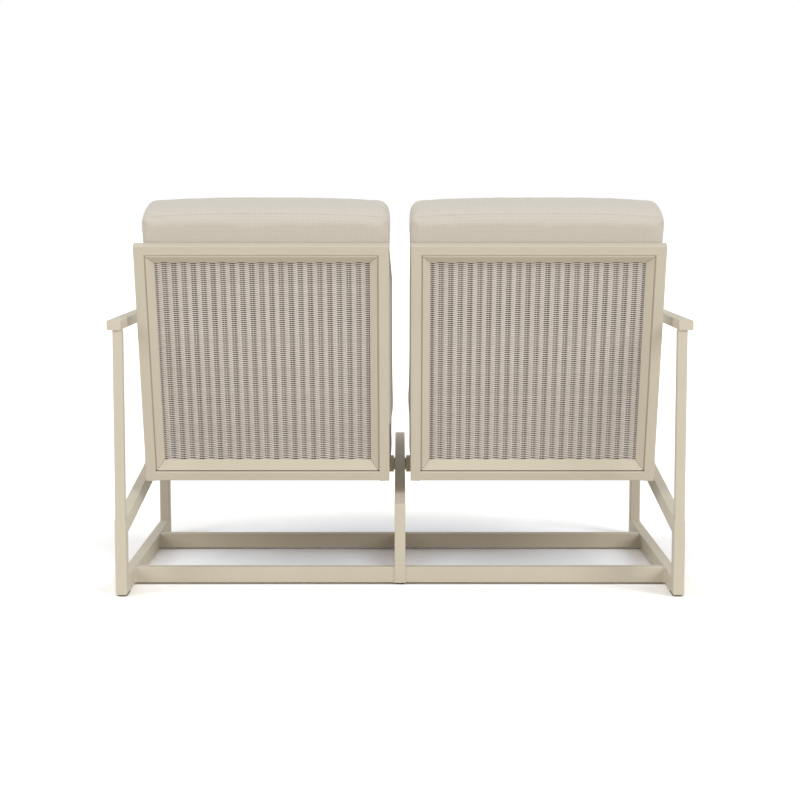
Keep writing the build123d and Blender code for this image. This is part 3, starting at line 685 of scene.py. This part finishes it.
# %% [markdown]
# ## Seat slings
#
# Under each seat cushion a mesh cloth is stretched between the rails. It gives a little in the
# middle: sag (1 - x^2)(1 - y^2), with x and y from -1 to 1. A second layer below the first gives it
# its thickness, and it is thicker in the hem.

# %% Seat slings
SLING_LIFT, SLING_THICKNESS, SLING_SAG = 0.0208, 0.0010, 0.004
SLING_WIDTH, SLING_LENGTH = SEAT_OUTER_X - SEAT_INNER_X - 2 * TUBE, SEAT_LENGTH - TUBE
HEM, HEM_EDGE, HEM_THICKENING = 0.022, 0.002, 0.6


def sling_material():
    """Coated mesh cloth: round threads, small open gaps, and none of them in the doubled hem."""
    material, tree, shader = new_material("sling_mesh")
    masks = use_group(tree, THREADS, {"Vector": cloth_place(tree), "Thread": 0.0009,
                                      "Check": 0.03, "Slub": 0.6})
    hem = add_node(tree, "ShaderNodeAttribute", attribute_name="hem").outputs["Fac"]
    colour = mix(tree, masks["Slub"], linear(186, 176, 156), linear(166, 156, 137))
    gap = calc(tree, "MULTIPLY", masks["Gap"], calc(tree, "SUBTRACT", 0.85, hem))
    wire_shader(tree, shader, mix(tree, gap, colour, linear(52, 48, 42)), 0.7,
                masks["Height"], 0.0003)
    return material


SLING = sling_material()
for name, side in SIDES.items():
    x, y, faces = sheet_grid(SLING_WIDTH, SLING_LENGTH, count=53)
    share_x, share_y = x / (SLING_WIDTH / 2), y / (SLING_LENGTH / 2) - 1
    upper = SLING_LIFT - SLING_SAG * (1 - share_x ** 2) * (1 - share_y ** 2)
    in_hem = np.clip((abs(x) - SLING_WIDTH / 2 + HEM) / HEM_EDGE, 0, 1)
    both = two_layers(x, y, upper, upper - SLING_THICKNESS * (1 + HEM_THICKENING * in_hem))
    points = seat_points(side * SEAT_MIDDLE_X - both[:, 0], both[:, 1], both[:, 2])
    sling = make_piece(f"{name}_sling", points, faces, SLING, f"{name}_seat",
                       [f"{name}_seat_panel"])
    corner_uv(sling.data, both[faces][..., :2])
    point_attribute(sling.data, "hem", np.tile(in_hem.ravel(), 2))
    print(name, "sling", round(SLING_WIDTH, 4), "x", round(SLING_LENGTH, 4), "m")

# %% [markdown]
# ## Welds
#
# The base is welded. Where a stretcher ends on a ring, a bead runs round its end: a thin tube along
# the rectangle of the joint whose radius swells and shrinks with each drop of metal. The bead's
# centre lies in the corner, so only a quarter of it shows, as a fillet.

# %% Weld beads
BEAD_RADIUS, DROP_LENGTH, BEAD_STEP, BEAD_SIDES = 0.0020, 0.0030, 0.0012, 6
RING_X, RING_WIDTH, RING_HEIGHT, GLIDE_HEIGHT = 0.6755, 0.027, 0.039, 0.005
STRETCHER_DEPTH, STRETCHER_SETBACKS = 0.030, (0.151, 0.631)


def weld_rings(centre, half_y, half_z):
    """Rings of points of a closed bead round an upright rectangle across the bench.

    Radius = r (0.9 + 0.2 |sin(pi s / drop)|), s the way along the loop.
    """
    corners = np.array([[1, 1], [-1, 1], [-1, -1], [1, -1]]) * [half_y, half_z]
    sides = np.linalg.norm(np.roll(corners, -1, 0) - corners, axis=1)
    steps = np.ceil(sides / BEAD_STEP).astype(int)
    share = np.concatenate([np.arange(count) / count for count in steps])
    corner = np.repeat(np.arange(4), steps)
    place = corners[corner] + (np.roll(corners, -1, 0) - corners)[corner] * share[:, None]
    outward = np.array([[0, 0, 1.0], [0, -1, 0], [0, 0, -1], [0, 1, 0]])[corner]
    way = np.concatenate([[0], np.cumsum(sides)[:-1]])[corner] + share * sides[corner]
    radius = BEAD_RADIUS * (0.9 + 0.2 * abs(np.sin(np.pi * way / DROP_LENGTH)))
    turn = np.arange(BEAD_SIDES) / BEAD_SIDES * 2 * np.pi
    middle = centre + np.pad(place, ((0, 0), (1, 0)))
    section = np.cos(turn)[:, None] * outward[:, None] + np.sin(turn)[:, None] * X_AXIS
    return middle[:, None] + radius[:, None, None] * section


weld_height = GLIDE_HEIGHT + RING_HEIGHT / 2
points = np.array([
    weld_rings(np.array([side * x, HALF_DEPTH - setback - STRETCHER_DEPTH / 2, weld_height]),
               STRETCHER_DEPTH / 2, RING_HEIGHT / 2)
    for side in SIDES.values() for setback in STRETCHER_SETBACKS
    for x in (RING_X - RING_WIDTH / 2, RING_WIDTH / 2)])
index = np.arange(points[..., 0].size).reshape(points.shape[:-1])
faces = np.concatenate([band_quads(np.concatenate([loop, loop[:1]])) for loop in index])
make_piece("base_welds", points, faces, PAINT, "base")
print("welds:", len(index), "loops,", len(faces), "faces")

# %% [markdown]
# ## The cushions
#
# Each seat has a box cushion under the sitter and one behind. A box cushion is sewn from a front
# panel, a rear panel and a strip, the boxing, between them. The seams hold the cover in while the
# foam pushes it out, so the panels are crowned, the boxing bulges, and the seams lie in a shallow
# valley. The start is a rounded box whose grid lines follow the three panels. A cloth simulation
# with pressure inside then gives the fullness and the small folds.

# %% Outline of a cushion
SEAM_SPACING = np.array([0, 0.0022, 0.0060, 0.0120, 0.0200])
CLOTH_SPACING = 0.0105


def panel_stations(length):
    """Places along a side, close together at both seams and even between them."""
    inner = length - 2 * SEAM_SPACING[-1]
    count = max(3, int(round(inner / CLOTH_SPACING)))
    middle = SEAM_SPACING[-1] + inner * np.arange(1, count) / count
    return np.concatenate([SEAM_SPACING, middle, length - SEAM_SPACING[::-1]])


def rounded_corner(x, y, half_x, half_y, radius):
    """Moves a square corner's grid onto a round one.

    With q the point clamped to the inner rectangle and d = p - q, the new point is
    q + d max|d| / |d|.
    """
    qx = np.clip(x, radius - half_x, half_x - radius)
    qy = np.clip(y, radius - half_y, half_y - radius)
    dx, dy = x - qx, y - qy
    size = np.hypot(dx, dy)
    factor = np.where(size > 0, np.maximum(abs(dx), abs(dy)) / np.where(size > 0, size, 1), 1)
    return qx + dx * factor, qy + dy * factor


def edge_distance(x, y, half_x, half_y, radius):
    """How far a point lies inside a rounded rectangle."""
    ox, oy = abs(x) - (half_x - radius), abs(y) - (half_y - radius)
    outside = np.hypot(np.maximum(ox, 0), np.maximum(oy, 0)) + np.minimum(np.maximum(ox, oy), 0)
    return radius - outside


# %% Front and rear panel
FRONT_SEAM_SETBACK, REAR_SEAM_HEIGHT, REAR_SEAM_REACH = 0.020, 0.004, 0.012
RIM_RISE, RIM_REACH, CROWN = 0.015, 0.030, 0.010
END_DROP, ROLL_REACH = 0.0125, 0.035


def cushion_panels(size, radii, rolled):
    """Grids of the rear panel, the front panel and their flat cloth, and the distance to a seam.

    Front height = seam height + rim (1 - exp(-d / 30 mm)) + crown (1 - x^2)(1 - y^2), where d is
    the distance from the seam and x, y run from -1 to 1. The rear is flat and curls up at its seam.
    The outline is a rectangle whose ends drop towards the corners by END_DROP y |x|^3. At the far
    end the rear panel may be rolled forward: it rises by rolled exp(-d / 35 mm) there, and ends
    short of the outline by rolled.
    """
    width, length, thickness = size
    half_x, half_y = width / 2, length / 2
    front_radius, rear_radius = radii
    flat_x, flat_y = np.meshgrid(panel_stations(width) - half_x, panel_stations(length) - half_y)
    rear_x, rear_y = rounded_corner(flat_x, flat_y, half_x, half_y, rear_radius)
    x, y = rounded_corner(flat_x, flat_y, half_x, half_y, front_radius)
    away = np.maximum(edge_distance(x, y, half_x, half_y, front_radius), 0)
    share_x, share_y = x / half_x, y / half_y
    drop = END_DROP * share_y * abs(share_x) ** 3
    y, rear_y = y - drop, rear_y - drop - rolled * np.clip(share_y, 0, 1) ** 2
    dome = np.clip((1 - share_x ** 2) * (1 - share_y ** 2), 0, 1)
    rim = RIM_RISE * (1 - np.exp(-away / RIM_REACH))
    front = thickness - FRONT_SEAM_SETBACK + rim + CROWN * dome
    rear = (REAR_SEAM_HEIGHT * np.exp(-away / REAR_SEAM_REACH)
            + rolled * np.exp(-(1 - share_y) * half_y / ROLL_REACH))
    return (np.stack([rear_x, rear_y, rear], -1), np.stack([x, y, front], -1),
            np.stack([flat_x, flat_y], -1), away)


# %% Boxing, and the whole cover
BOXING_SHORTFALL, BOXING_BULGE, ROLL_HEIGHT = 0.030, 0.003, 0.030


def cushion_boxing(foot, rim, front_seam, levels, top):
    """Points of the boxing, one row per level, from the rear seam's loop to the front one's.

    Each row is the front outline, pushed outwards by bulge sin(pi share)^0.7, and drawn to the rear
    outline over its lowest 30 mm by a quarter circle.
    """
    tangent = np.roll(rim, -1, 0) - np.roll(rim, 1, 0)
    outward = np.stack([tangent[:, 1], -tangent[:, 0]], -1) / np.hypot(*tangent.T)[:, None]
    share = levels / top
    bulge = BOXING_BULGE * np.sin(np.pi * share) ** 0.7
    corner = 1 - np.sqrt(1 - (1 - np.minimum(levels / ROLL_HEIGHT, 1)) ** 2)
    place = rim + outward * bulge[:, None, None] + (foot[:, :2] - rim) * corner[:, None, None]
    height = foot[:, 2] + share[:, None] * (front_seam - foot[:, 2])
    return np.concatenate([place, height[..., None]], -1)


def cushion_arrays(size, radii, rolled):
    """Points in the cushion's own axes, quads, cloth UVs per corner, and distance to a seam."""
    rear, front, flat, away = cushion_panels(size, radii, rolled)
    count = away.size
    index = np.arange(count).reshape(away.shape)
    cell, loop = grid_quads(index), grid_rim(index)
    up = panel_stations(size[2] - BOXING_SHORTFALL)
    levels = up[1:-1]
    rim = front.reshape(-1, 3)[loop, :2]
    boxing = cushion_boxing(rear.reshape(-1, 3)[loop], rim, size[2] - FRONT_SEAM_SETBACK, levels,
                            up[-1])
    points = np.concatenate([part.reshape(-1, 3) for part in (rear, front, boxing)])
    rows = 2 * count + np.arange(len(levels) * len(loop)).reshape(len(levels), len(loop))
    rows = np.concatenate([loop[None], rows, loop[None] + count])
    faces = np.concatenate([cell[:, ::-1], cell + count, band_quads(rows)])
    step = np.roll(rim, -1, 0) - rim
    arc = np.concatenate([[0], np.cumsum(np.hypot(*step.T))])
    strip = np.stack(np.meshgrid(arc, up), -1).reshape(-1, 2)
    strip_cell = grid_quads(np.arange(len(strip)).reshape(len(up), len(arc)))
    flat = flat.reshape(-1, 2)
    uv = np.concatenate([flat[cell[:, ::-1]], flat[cell], strip[strip_cell]])
    to_seam = np.repeat(np.minimum(levels, up[-1] - levels), len(loop))
    return points, faces, uv, np.concatenate([away.ravel(), away.ravel(), to_seam])


# %% [markdown]
# ### Sewing and filling
#
# The cloth solver runs for twenty frames with air pressure and no gravity. A cushion's flat side
# lies on the tubes, so afterwards no point may pass that plane, and no point may be further than
# the cap from where it started. The seam is pressed in after the simulation: a narrow valley along
# both seam loops, with small puckers where the thread pulls, and painted shade in the valley.

# %% Cloth simulation of a cushion
FRAMES = 20
CLOTH_SETTINGS = {"quality": 4, "mass": 0.25, "tension_stiffness": 22, "compression_stiffness": 22,
                  "shear_stiffness": 8, "bending_stiffness": 0.25, "use_pressure": True,
                  "uniform_pressure_force": 4.0, "shrink_min": -0.012}


def fill_with_air(piece):
    """Runs the cloth solver on a piece and gives the points of its last frame."""
    scene = bpy.context.scene
    cloth = piece.modifiers.new("cloth", "CLOTH")
    for key, value in CLOTH_SETTINGS.items():
        setattr(cloth.settings, key, value)
    cloth.settings.effector_weights.gravity = 0
    cloth.point_cache.frame_start, cloth.point_cache.frame_end = 1, FRAMES
    for number in range(1, FRAMES + 1):
        scene.frame_set(number)
    ready = piece.evaluated_get(bpy.context.evaluated_depsgraph_get())
    found = np.empty(len(ready.data.vertices) * 3)
    ready.data.vertices.foreach_get("co", found)
    piece.modifiers.remove(cloth)
    scene.frame_set(1)
    return found.reshape(-1, 3)


def capped(moved, start, most):
    """Shortens each point's way from its start to most tanh(|step| / most), below the cap."""
    step = moved - start
    size = np.linalg.norm(step, axis=1, keepdims=True)
    safe = np.where(size > 1e-9, size, 1)
    return start + step / safe * most * np.tanh(size / most)


# %% Canvas of the cushions
def cushion_material():
    """Light outdoor canvas: plain weave, a quiet check, a soft nap, and painted shade in the seam's
    crease.
    """
    material, tree, shader = new_material("cushion_canvas")
    masks = use_group(tree, THREADS, {"Vector": cloth_place(tree)})
    seam = add_node(tree, "ShaderNodeAttribute", attribute_name="seam").outputs["Fac"]
    colour = mix(tree, masks["Slub"], linear(219, 213, 203), linear(212, 205, 193))
    colour = tinted(tree, colour, masks["Check"], 0.24, linear(186, 177, 163))
    colour = tinted(tree, colour, masks["Gap"], 0.25, linear(176, 166, 152))
    # Painted shade along the seam's crease.
    colour = tinted(tree, colour, seam, 0.55, linear(150, 140, 126))
    height = calc(tree, "SUBTRACT", masks["Height"], calc(tree, "MULTIPLY", masks["Check"], 0.5))
    wire_shader(tree, shader, colour, 0.92, height, 0.00025, 0.8)
    shader.inputs["Sheen Weight"].default_value = 0.12
    shader.inputs["Sheen Roughness"].default_value = 0.5
    return material


CANVAS = cushion_material()

# %% A cushion from its parts
OUTLINE_HOLD = np.array([0.35, 0.35, 1.0])
LONGEST_MOVE, RESTING_PLANE = 0.016, 0.0006
SEAM_DEPTH, SEAM_VALLEY, SEAM_LINE = 0.0022, 0.0042, 0.0012
LONG_PUCKER, SHORT_PUCKER = 0.011, 0.0063


def move_points(mesh, points):
    """Puts a mesh's points where the array says."""
    mesh.vertices.foreach_set("co", points.ravel())
    mesh.update()


def make_cushion(name, kind, size, radii, rolled, rear_seam, seed, lay, at):
    """Start shape, simulation, cap, resting plane, seams; then its place, and one subdivision."""
    local, faces, uv, seam_distance = cushion_arrays(size, radii, rolled)
    piece = make_piece(f"{name}_{kind}_pad", local, faces, CANVAS, f"{name}_seat",
                       [f"{name}_{kind}_cushion"])
    mesh = piece.data
    corner_uv(mesh, uv)
    moved = fill_with_air(piece)
    local = local + (capped(moved, local, LONGEST_MOVE) - local) * OUTLINE_HOLD
    local[:, 2] = np.maximum(local[:, 2], RESTING_PLANE)
    phase = np.random.default_rng(seed).random(2) * 2 * np.pi
    run = local[:, 0] + local[:, 1]
    pucker = (1 + 0.35 * np.sin(run / LONG_PUCKER + phase[0])
              + 0.25 * np.sin(run / SHORT_PUCKER + phase[1]))
    move_points(mesh, local)
    normals = np.empty(len(local) * 3, np.float32)
    mesh.vertex_normals.foreach_get("vector", normals)
    on_rear = np.clip(1 - local[:, 2] / (size[2] / 2), 0, 1)
    full = SEAM_DEPTH * (1 - on_rear * (1 - rear_seam))
    depth = full * np.exp(-(seam_distance / SEAM_VALLEY) ** 2) * pucker
    local = local - normals.reshape(-1, 3) * depth[:, None]
    local[:, 2] = np.maximum(local[:, 2], RESTING_PLANE)
    move_points(mesh, lay(local, *at))
    # The seam mask paints shade in the crease: darker where the pressed valley is deeper.
    point_attribute(mesh, "seam", np.exp(-(seam_distance / SEAM_LINE) ** 2) * full / SEAM_DEPTH)
    finer = piece.modifiers.new("finer", "SUBSURF")
    finer.levels = finer.render_levels = 1
    print(piece.name, len(faces), "faces,", "simulated")


# %% [markdown]
# ### Where the cushions lie
#
# The back cushion rests on the seat cushion and reaches past the top rail. The photograph shows
# that the two seats' cushions aren't quite alike: they differ by a few millimetres in width, and
# their inner sides swell towards each other by different amounts.

# %% Places of the cushions
REST_GAP, COVER_SLACK = 0.0003, 0.004
SEAT_CUSHION_LENGTH, SEAT_CUSHION_THICKNESS = 0.624, 0.112
SEAT_CUSHION_RUN = 0.006 + SEAT_CUSHION_LENGTH / 2
BACK_CUSHION_NEST = 0.015
BACK_CUSHION_FOOT = ((TUBE + REST_GAP + SEAT_CUSHION_THICKNESS) / np.cos(BACK_TILT - SEAT_SLOPE)
                     - BACK_CUSHION_NEST)
BACK_CUSHION_TOP, BACK_CUSHION_THICKNESS = BACK_LENGTH + 0.083, 0.140
BACK_CUSHION_RISE = (BACK_CUSHION_TOP + BACK_CUSHION_FOOT) / 2
BELLY_TOP, BELLY_FADE = 0.17, 0.08


def swell(x, side, width, belly):
    """How far a belly on one side moves x: side belly (1/2 + side x / width)^2."""
    return side * belly * np.clip(0.5 + side * x / width, 0, 1) ** 2


def lay_on_seat(local, middle, side, width, belly):
    """The cushion's own axes laid on the seat: y runs forward, z up; the inner side swells."""
    x, y, z = local.T
    x = x + swell(x, side, width, belly)
    return seat_points(middle - x, SEAT_CUSHION_RUN + y, TUBE + REST_GAP + z)


def lay_on_back(local, middle, side, width, belly):
    """The cushion's own axes laid on the back: y runs up, z towards the sitter.

    The inner side swells, less and less towards the top.
    """
    x, y, z = local.T
    low = np.clip((BELLY_TOP - y) / BELLY_FADE, 0, 1)
    x = x + swell(x, -side, width, belly) * low
    return back_points(middle + x, BACK_CUSHION_RISE + y, TUBE + REST_GAP + z)


# %% Four cushions
CUSHION_SPAN = {"left": (0.0235, 0.6235), "right": (0.0222, 0.6375)}
SEAT_BELLY = {"left": 0.0035, "right": 0.0}
BACK_BELLY = {"left": 0.0065, "right": 0.0012}

for number, (name, side) in enumerate(SIDES.items()):
    inner_x, outer_x = CUSHION_SPAN[name]
    middle, width = side * (inner_x + outer_x) / 2, outer_x - inner_x
    make_cushion(name, "seat",
                 (width, SEAT_CUSHION_LENGTH - COVER_SLACK, SEAT_CUSHION_THICKNESS),
                 radii=(0.032, 0.032), rolled=0.0, rear_seam=1.0, seed=11 + number,
                 lay=lay_on_seat, at=(middle, side, width, SEAT_BELLY[name]))
    make_cushion(name, "back",
                 (width, BACK_CUSHION_TOP - BACK_CUSHION_FOOT, BACK_CUSHION_THICKNESS),
                 radii=(0.026, 0.012), rolled=0.010, rear_seam=0.08, seed=21 + number,
                 lay=lay_on_back, at=(middle, side, width, BACK_BELLY[name]))


# %% [markdown]
# ## Floor, light and camera
#
# The bench stands on a white studio floor. Rays that come straight from the camera, or from a
# mirror-like surface, see a brighter floor and world than the bench is lit by, so only the shadow
# is grey. All other rays see warm paper, darker under the bench as painted shade, so that less
# light bounces up into the bench's undersides. Its light would tint the shadow: there the brighter
# floor is a little blue.

# %% Floor and world
SHADE_NEAR, SHADE_FAR, FLOOR_REACH = 0.45, 0.85, 60.0
SKY_LIGHT, SKY_SEEN = 0.48, 1.0


def end_by_ray(tree, output, ordinary, seen):
    """Ends a tree in seen for camera, glossy and transmission rays, in ordinary for all others."""
    path = tree.nodes.new("ShaderNodeLightPath").outputs
    direct = calc(tree, "MAXIMUM", path["Is Camera Ray"], path["Is Glossy Ray"])
    direct = calc(tree, "MAXIMUM", direct, path["Is Transmission Ray"])
    mixed = add_node(tree, "ShaderNodeMixShader",
                     {0: direct, 1: ordinary.outputs[0], 2: seen.outputs[0]})
    add_node(tree, output, {"Surface": mixed.outputs[0]})


def floor_material():
    """Paper: the distance |(0.9 x, 1.3 y + 0.15)| tells the bench's shade from the rest."""
    material = bpy.data.materials.new("studio_floor")
    tree = empty_tree(material)
    place = vector_node(tree, "MULTIPLY_ADD", object_place(tree), (0.9, 1.3, 0.0),
                        (0.0, 0.15, 0.0))["Vector"]
    away = vector_node(tree, "LENGTH", place)["Value"]
    outside = map_range(tree, away, SHADE_NEAR, SHADE_FAR)
    # Under the bench the paper is darker: painted shade for the light that bounces up.
    bounce_paper_with_shade = mix(tree, outside, (0.56, 0.45, 0.31, 1), (0.80, 0.75, 0.67, 1))
    seen = mix(tree, outside, (1.27, 1.32, 1.43, 1), (1.43, 1.43, 1.43, 1))
    end_by_ray(tree, "ShaderNodeOutputMaterial",
               *(add_node(tree, "ShaderNodeBsdfDiffuse", {"Color": colour})
                 for colour in (bounce_paper_with_shade, seen)))
    return material


floor_mesh = bpy.data.meshes.new("floor")
floor_corners = FLOOR_REACH * np.array([(-1, -1, 0), (1, -1, 0), (1, 1, 0), (-1, 1, 0)])
floor_mesh.from_pydata(floor_corners.tolist(), [], [(0, 1, 2, 3)])
floor_mesh.materials.append(floor_material())
add_object("floor", floor_mesh)

world = bpy.data.worlds.new("studio")
bpy.context.scene.world = world
sky = empty_tree(world)
end_by_ray(sky, "ShaderNodeOutputWorld",
           *(add_node(sky, "ShaderNodeBackground", {"Color": (1, 1, 1, 1), "Strength": strength})
             for strength in (SKY_LIGHT, SKY_SEEN)))

# %% [markdown]
# Five broad suns light the bench. The key and the fill stand behind it, on the side that the
# photograph shows, two weaker ones light the front from both corners, and a faint one comes from
# above. A sun's angle is the width of its disc: the wider it is, the softer are the shadows.

# %% Lamps
SUNS = {"key": ((-2.5, 2.4, 1.75), 30, 1.26), "fill": ((2.8, 2.2, 1.75), 32, 0.90),
        "front left": ((2.4, -2.0, 0.8), 44, 0.44), "front right": ((-2.4, -2.0, 0.8), 44, 0.44),
        "top": ((1.0, -0.9, 2.6), 50, 0.18)}
for name, (direction, disc, strength) in SUNS.items():
    sun = bpy.data.lights.new(name, "SUN")
    sun.angle, sun.energy = radians(disc), strength
    add_object(name, sun).rotation_euler = Vector(direction).to_track_quat("Z", "Y").to_euler()
print(len(SUNS), "suns")

# %% [markdown]
# The photograph looks at the back of the bench, from a little above its top rail, with a long lens.
# The distance and height follow from how much larger the near legs look than the far ones.

# %% Camera
CAMERA_PLACE, CAMERA_DIP = (0.0, 4.894, 0.945), 5.96

camera_data = bpy.data.cameras.new("camera")
camera_data.lens, camera_data.sensor_width = 84.0, 36.0
camera_data.clip_end = 200
camera = add_object("camera", camera_data)
camera.location = CAMERA_PLACE
camera.rotation_euler = (radians(90 - CAMERA_DIP), 0.0, radians(180))
bpy.context.scene.camera = camera
bpy.context.scene.view_settings.view_transform = "Standard"
